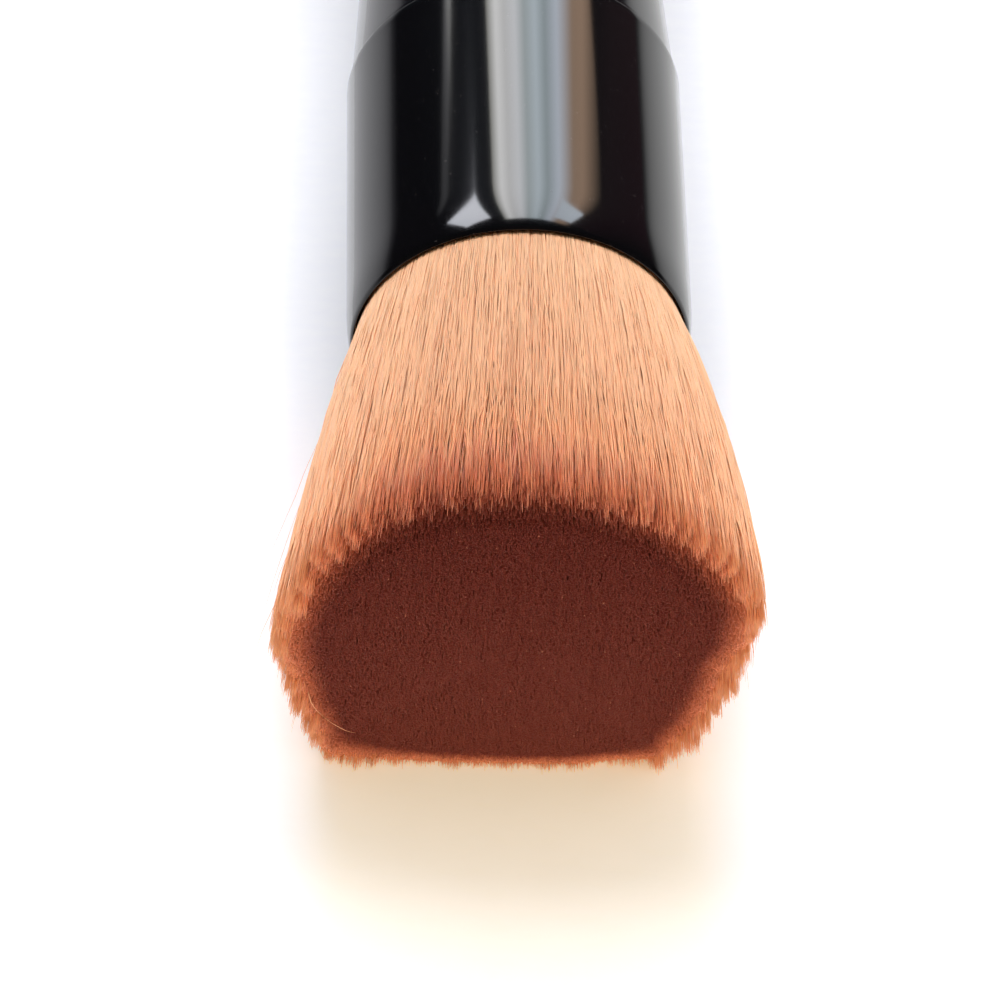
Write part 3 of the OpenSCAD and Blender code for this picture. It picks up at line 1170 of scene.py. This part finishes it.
@dataclass
class Ferrule(TurnedSkin):
    """Metal tube whose mouth is rolled in towards the strands."""

    outer: float = 12.0
    bore: float = 11.55
    length: float = 25.0
    roll_length: float = 5.0
    roll_drop: float = 0.2
    roll_power: float = 3.6
    lip_back: float = 0.3
    lip_turn: float = 50.0
    lip_depth: float = 0.23
    lip_length: float = 0.84
    lip_round: float = 0.06
    edge_round: float = 0.12

    def outline(self) -> list[tuple[float, float]]:
        """Rolled edge, outside and bore of the tube."""
        most = math.radians(self.lip_turn)
        lip = self.outer - self.roll_drop - self.lip_depth * math.sin(most)
        start = self.lip_back + self.lip_length * (1 - math.cos(most))
        points = arc((lip, self.lip_back + self.lip_round), self.lip_round, 180, 270, 5)
        for angle in np.linspace(0, most, 10)[1:]:
            behind = self.lip_back + self.lip_length * (1 - math.cos(angle))
            points.append((lip + self.lip_depth * math.sin(angle), behind))
        for behind in np.linspace(start, self.roll_length, 60)[1:]:
            share = (behind - start) / (self.roll_length - start)
            points.append((self.outer - self.roll_drop * (1 - share) ** self.roll_power, float(behind)))
        edge = self.length - self.edge_round
        for behind in np.linspace(self.roll_length, edge, 40)[1:]:
            points.append((self.outer, float(behind)))
        points += arc((self.outer - self.edge_round, edge), self.edge_round, 0, 90, 5)[1:]
        points.append((self.bore, self.length))
        points += [(self.bore, float(b)) for b in np.linspace(self.length, start, 30)[1:]]
        return points


@dataclass
class HandleForm:
    """Outside of the handle and the end cap, by the distance behind the ferrule."""

    shoulder: float = 11.8
    waist: float = 10.75
    waist_at: float = 24.0
    swell: float = 11.5
    swell_at: float = 46.0
    flat: float = 8.5
    total: float = 56.0
    tail_power: float = 2.4

    def radius(self, behind: float) -> float:
        """Outside radius at a distance behind the ferrule."""
        if behind < self.waist_at:
            return self.waist + (self.shoulder - self.waist) * (1 - behind / self.waist_at) ** 2
        if behind < self.swell_at:
            share = (behind - self.waist_at) / (self.swell_at - self.waist_at)
            return self.waist + (self.swell - self.waist) * share * share * (3 - 2 * share)
        share = min(1.0, (behind - self.swell_at) / (self.total - self.swell_at))
        return self.flat + (self.swell - self.flat) * (1 - share**self.tail_power) ** (1 / self.tail_power)


@dataclass
class Handle(TurnedSkin):
    """Hollow handle with a tenon at the front."""

    form: HandleForm = field(default_factory=HandleForm)
    ferrule_length: float = 25.0
    length: float = 50.0
    front: float = 11.0
    tenon: float = 11.25
    chamfer: float = 0.5
    edge_round: float = 0.2
    seam: float = 0.15
    bore: float = 8.05
    bore_front: float = 14.0

    def outline(self) -> list[tuple[float, float]]:
        """Tenon, shoulder, skin and bore of the handle."""
        back = self.ferrule_length + self.length
        edge = self.form.radius(self.edge_round)
        points = [
            (0.0, self.front), (self.tenon - self.chamfer, self.front),
            (self.tenon, self.front + self.chamfer), (self.tenon, self.ferrule_length),
        ]
        points += arc(
            (edge - self.edge_round, self.ferrule_length + self.edge_round), self.edge_round, -90, 0, 6
        )
        for behind in np.linspace(self.edge_round, self.length - self.seam, 160)[1:]:
            points.append((self.form.radius(float(behind)), self.ferrule_length + float(behind)))
        points += [
            (self.form.radius(self.length) - self.seam, back), (self.bore, back),
            (self.bore, self.bore_front), (0.0, self.bore_front),
        ]
        return points


@dataclass
class EndCap(TurnedSkin):
    """Rounded end cap with a spigot that enters the handle."""

    form: HandleForm = field(default_factory=HandleForm)
    ferrule_length: float = 25.0
    handle_length: float = 50.0
    length: float = 6.0
    spigot: float = 7.85
    spigot_length: float = 8.0
    chamfer: float = 0.5
    seam: float = 0.15

    def outline(self) -> list[tuple[float, float]]:
        """Spigot, joint, rounded skin and flat tail of the cap."""
        joint = self.ferrule_length + self.handle_length
        front = joint - self.spigot_length
        points = [
            (0.0, front), (self.spigot - self.chamfer, front), (self.spigot, front + self.chamfer),
            (self.spigot, joint), (self.form.radius(self.handle_length) - self.seam, joint),
        ]
        for share in np.linspace(0, 1, 72):
            rounded = (self.length - self.seam) * math.sin(share * math.pi / 2)
            behind = self.handle_length + self.seam + rounded
            points.append((self.form.radius(behind), self.ferrule_length + behind))
        points += [(self.form.flat * share, joint + self.length) for share in (0.96, 0.6, 0.3)]
        points.append((0.0, joint + self.length))
        return points


@dataclass
class Inner:
    """The pieces inside ferrule and handle, which keep the shapes of the frame."""

    finishes: dict[str, Finish] = field(
        default_factory=lambda: {
            "root_plug": InsideFinish(
                "Epoxy, cast", "#C79A5B", 0.25, 1.55, 0.0, Inside.CAST, "#8F6330", 2.0, 0.03
            ),
            "root_band": InsideFinish(
                "Polyester thread, wound", "#E9E2D0", 0.7, 1.5, 0.0, Inside.WOUND, "#BDB199", 0.3, 0.08
            ),
            "tenon_adhesive": InsideFinish(
                "Epoxy adhesive, cured in the gap", "#D9CFA8", 0.35, 1.55, 0.0, Inside.CAST,
                "#BFB284", 1.2, 0.02,
            ),
            "cap_adhesive": InsideFinish(
                "Cyanoacrylate, cured in the gap", "#DEDBCB", 0.3, 1.5, 0.0, Inside.CAST,
                "#C4BFA8", 0.9, 0.01,
            ),
            "balance_weight": InsideFinish(
                "Steel, turned", "#A8A9AC", 0.34, 1.5, 1.0, Inside.TURNED, "#85868A", 0.25, 0.01
            ),
            "weight_pad": InsideFinish(
                "Grey card, rolled and pressed", "#8B8880", 0.9, 1.5, 0.0, Inside.PRESSED,
                "#6A675F", 0.7, 0.04,
            ),
        }
    )

    def build(self) -> None:
        """Puts the finishes on the frame's nodes."""
        for name, finish in self.finishes.items():
            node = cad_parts[name]
            for holder in node.material_slots:
                holder.material = finish.material()
            log.info("%s: %s", name, finish.name)


class Facing(Enum):
    """Turns of a panel in radians, by the way that it looks."""

    FRONT = (math.pi / 2, 0.0, 0.0)
    BACK = (-math.pi / 2, 0.0, 0.0)
    DOWN = (math.pi, 0.0, 0.0)
    UP = (0.0, 0.0, 0.0)
    ACROSS = (math.pi / 2, 0.0, math.pi / 2)


@dataclass
class Panel:
    """A flat card or window of the studio."""

    name: str
    centre: tuple[float, float, float]
    size: tuple[float, float]
    colours: tuple[tuple[float, str], ...]
    strength: float
    facing: Facing = Facing.FRONT
    lights: bool = False

    def build(self) -> bpy.types.Object:
        """Makes the panel.

        Returns:
            The panel.
        """
        panel = add_sheet(self.name, *self.size)
        panel.location = self.centre
        panel.rotation_euler = self.facing.value
        panel.data.materials.append(self.material())
        panel.visible_camera = False
        panel.visible_shadow = False
        if self.lights:
            panel.visible_glossy = False
        else:
            panel.visible_diffuse = False
            panel.visible_transmission = False
            panel.visible_volume_scatter = False
        return panel

    def material(self) -> bpy.types.Material:
        """The panel's glow, with its upright bands of colour.

        Returns:
            The material.
        """
        made = bpy.data.materials.new(self.name)
        made.use_nodes = True
        tree = made.node_tree
        tree.nodes.clear()
        where = add_node(tree, "TexCoord")
        split = add_node(tree, "SeparateXYZ", None, {"Vector": where.outputs["Object"]})
        place = add_node(tree, "MapRange", None, {
            "Value": split.outputs["X"], "From Min": -self.size[0] / 2, "From Max": self.size[0] / 2,
        })
        colour = add_node(tree, "ValToRGB", None, {"Fac": place}, self.colours)
        glow = add_node(tree, "Emission", None, {"Color": colour, "Strength": self.strength})
        add_node(tree, "OutputMaterial", None, {"Surface": glow})
        return made


@dataclass
class Studio:
    """Pale paper, a window behind the brush, dark cards beside it, and the camera."""

    lens: float = 196.5
    sensor: float = 36.0
    target: tuple[float, float, float] = (-1.626, -40.66, 12.0)
    azimuth: float = -5.662
    elevation: float = 48.214
    distance: float = 368.2
    roll: float = 6.256
    fill_front_low: tuple[float, float, float, float] = (3.40, 2.45, 1.55, 1.0)
    fill_front_high: tuple[float, float, float, float] = (0.55, 0.40, 0.24, 1.0)
    fill_back: tuple[float, float, float, float] = (0.62, 0.80, 1.00, 1.0)
    floor_size: float = 3.2

    def build(self) -> None:
        """Makes the stage, the lights and the camera."""
        self.floor()
        self.panels()
        self.world()
        self.camera()
        scene = bpy.context.scene
        scene.view_settings.view_transform = "Standard"

    def floor(self) -> None:
        """Lays the paper under the brush."""
        paper = add_sheet("paper", self.floor_size, self.floor_size)
        paper.data.materials.append(CottonPaper("Cotton paper, uncoated", "#F0F0F0", 0.9, 1.5).material())

    def panels(self) -> None:
        """Hangs the window and the cards that the black gloss mirrors."""
        # Panes between posts, then a curtain and the dark of the room, from left to right.
        window = (
            (0.0, "#909088"), (0.08, "#FAFAFA"), (0.16, "#DCDCDC"), (0.26, "#EAECF0"),
            (0.35, "#B4BEC0"), (0.45, "#CCD8E0"), (0.54, "#A0ACB0"), (0.65, "#CAD2DE"),
            (0.78, "#98806C"), (0.86, "#9E8470"), (1.0, "#1C1C1A"),
        )
        Panel("window", (0.215, 0.90, 1.05), (1.09, 1.0), window, 11.0).build()
        pane = ((0.0, "#C4CDD6"), (1.0, "#CDD6E0"))
        Panel("upper_pane", (0.565, 0.885, 1.125), (0.29, 0.43), pane, 11.0).build()
        sill = (
            (0.0, "#2A2A2C"), (0.45, "#5C5C5E"), (0.58, "#7C7C7E"), (0.68, "#C6C6C4"), (1.0, "#8A8A88"),
        )
        Panel("far_sill", (-0.70, 0.89, 0.560), (0.36, 0.060), sill, 6.6).build()
        pale = ((0.0, "#DDE0E8"), (1.0, "#E6E8F0"))
        Panel("side_window", (-0.735, 0.89, 1.075), (0.45, 0.52), pale, 13.0).build()
        back = (
            (0.0, "#0C0C10"), (0.2, "#121216"), (0.32, "#40464C"), (0.42, "#484E56"),
            (0.72, "#303030"), (0.78, "#5A4648"), (0.84, "#4C2E36"), (1.0, "#1C1616"),
        )
        Panel("flag_back", (0.0, 1.06, 0.80), (3.4, 1.6), back, 1.0).build()
        dark = ((0.0, "#08080A"), (1.0, "#08080A"))
        Panel("flag_top", (0.0, -0.10, 1.60), (3.4, 2.6), dark, 1.0, Facing.DOWN).build()
        Panel("flag_front", (0.0, -1.3, 0.80), (3.4, 1.6), dark, 1.0, Facing.BACK).build()
        for side in (-1.7, 1.7):
            Panel("flag_side", (side, -0.10, 0.80), (2.5, 1.6), dark, 1.0, Facing.ACROSS).build()
        soft = ((0.0, "#F2F6FF"), (1.0, "#F8F8FF"))
        Panel("softbox", (-0.12, 0.93, 1.45), (1.2, 0.9), soft, 8.6, Facing.DOWN, True).build()
        Panel("fill_right", (1.3, 0.0, 0.5), (1.2, 0.9), soft, 2.0, Facing.ACROSS, True).build()
        Panel("fill_left", (-1.3, 0.0, 0.5), (1.2, 0.9), soft, 0.9, Facing.ACROSS, True).build()
        fall_left = (
            (0.0, "#121214"), (0.8, "#202024"), (0.91, "#606064"), (0.95, "#ACACB0"), (1.0, "#F0F0F4"),
        )
        Panel("card_left", (-0.81, 0.30, 0.0015), (1.58, 1.5), fall_left, 1.2, Facing.UP).build()
        fall_right = (
            (0.0, "#F0F0F0"), (0.04, "#DCDCDC"), (0.1, "#B0B0B0"), (0.19, "#6A6A6A"),
            (0.43, "#4A4848"), (1.0, "#242020"),
        )
        Panel("card_right", (0.81, 0.30, 0.0015), (1.58, 1.5), fall_right, 1.35, Facing.UP).build()

    def world(self) -> None:
        """Fills with soft light, and shows white where nothing stands."""
        world = bpy.data.worlds.new("room")
        bpy.context.scene.world = world
        world.use_nodes = True
        tree = world.node_tree
        tree.nodes.clear()
        where = add_node(tree, "TexCoord")
        split = add_node(tree, "SeparateXYZ", None, {"Vector": where.outputs["Generated"]})
        behind = add_node(
            tree, "MapRange", None, {"Value": split.outputs["Y"], "From Min": -0.6, "From Max": 0.6}
        )
        height = add_node(
            tree, "MapRange", None, {"Value": split.outputs["Z"], "From Min": 0.15, "From Max": 0.55}
        )
        front = add_node(tree, "Mix", {"data_type": "RGBA"}, {
            "Factor": height, 6: self.fill_front_low, 7: self.fill_front_high,
        })
        fill = add_node(tree, "Mix", {"data_type": "RGBA"}, {
            "Factor": behind, 6: front.outputs[2], 7: self.fill_back,
        })
        colour = add_node(tree, "Mix", {"data_type": "RGBA"}, {
            "Factor": direct_rays(tree), 6: fill.outputs[2], 7: linear("#FFFFFF"),
        })
        sky = add_node(tree, "Background", None, {"Color": colour.outputs[2], "Strength": 1.0})
        add_node(tree, "OutputWorld", None, {"Surface": sky})

    def camera(self) -> None:
        """Sets the camera at the angle of the photograph."""
        az, el, roll = (math.radians(v) for v in (self.azimuth, self.elevation, self.roll))
        back = Vector((math.sin(az) * math.cos(el), -math.cos(az) * math.cos(el), math.sin(el)))
        right = (-back).cross(Vector((0, 0, 1))).normalized()
        up = right.cross(-back)
        turned_right = math.cos(roll) * right + math.sin(roll) * up
        turned_up = -math.sin(roll) * right + math.cos(roll) * up
        place = (Vector(self.target) + back * self.distance) * MM
        data = bpy.data.cameras.new("camera")
        data.lens = self.lens
        data.sensor_width = self.sensor
        data.clip_start = 0.01
        camera = add_object("camera", data)
        turn = Matrix((turned_right, turned_up, back)).transposed().to_4x4()
        camera.matrix_world = Matrix.Translation(place) @ turn
        bpy.context.scene.camera = camera


def main() -> None:
    """Builds the brush and its studio."""
    logging.basicConfig(level=logging.INFO, format="%(message)s")
    ferrule_low, ferrule_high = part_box("ferrule")
    head_low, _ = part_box("bristles")
    axis_z = round(ferrule_high.z / 2 / MM, 2)
    mouth = round(ferrule_low.y / MM, 2)
    face = round(head_low.y / MM, 2)

    Studio().build()
    Tuft(HeadForm(axis_z, mouth, face)).build()
    lacquer = BlackGloss("Aluminium, sprayed with black gloss lacquer", "#070709", 0.085, 1.5)
    plastic = BlackGloss("ABS, moulded and polished black", "#07070A", 0.1, 1.54, 0.0, 9.0, 0.002, 0.4)
    Ferrule("ferrule_tube", "ferrule", "ferrule_metal", lacquer, axis_z, mouth).build()
    Handle("handle_shell", "handle", "handle_plastic", plastic, axis_z, mouth).build()
    EndCap("cap_skin", "end_cap", "cap_plastic", plastic, axis_z, mouth).build()
    Inner().build()

    log.info("boxes written")


if __name__ == "__main__":
    main()
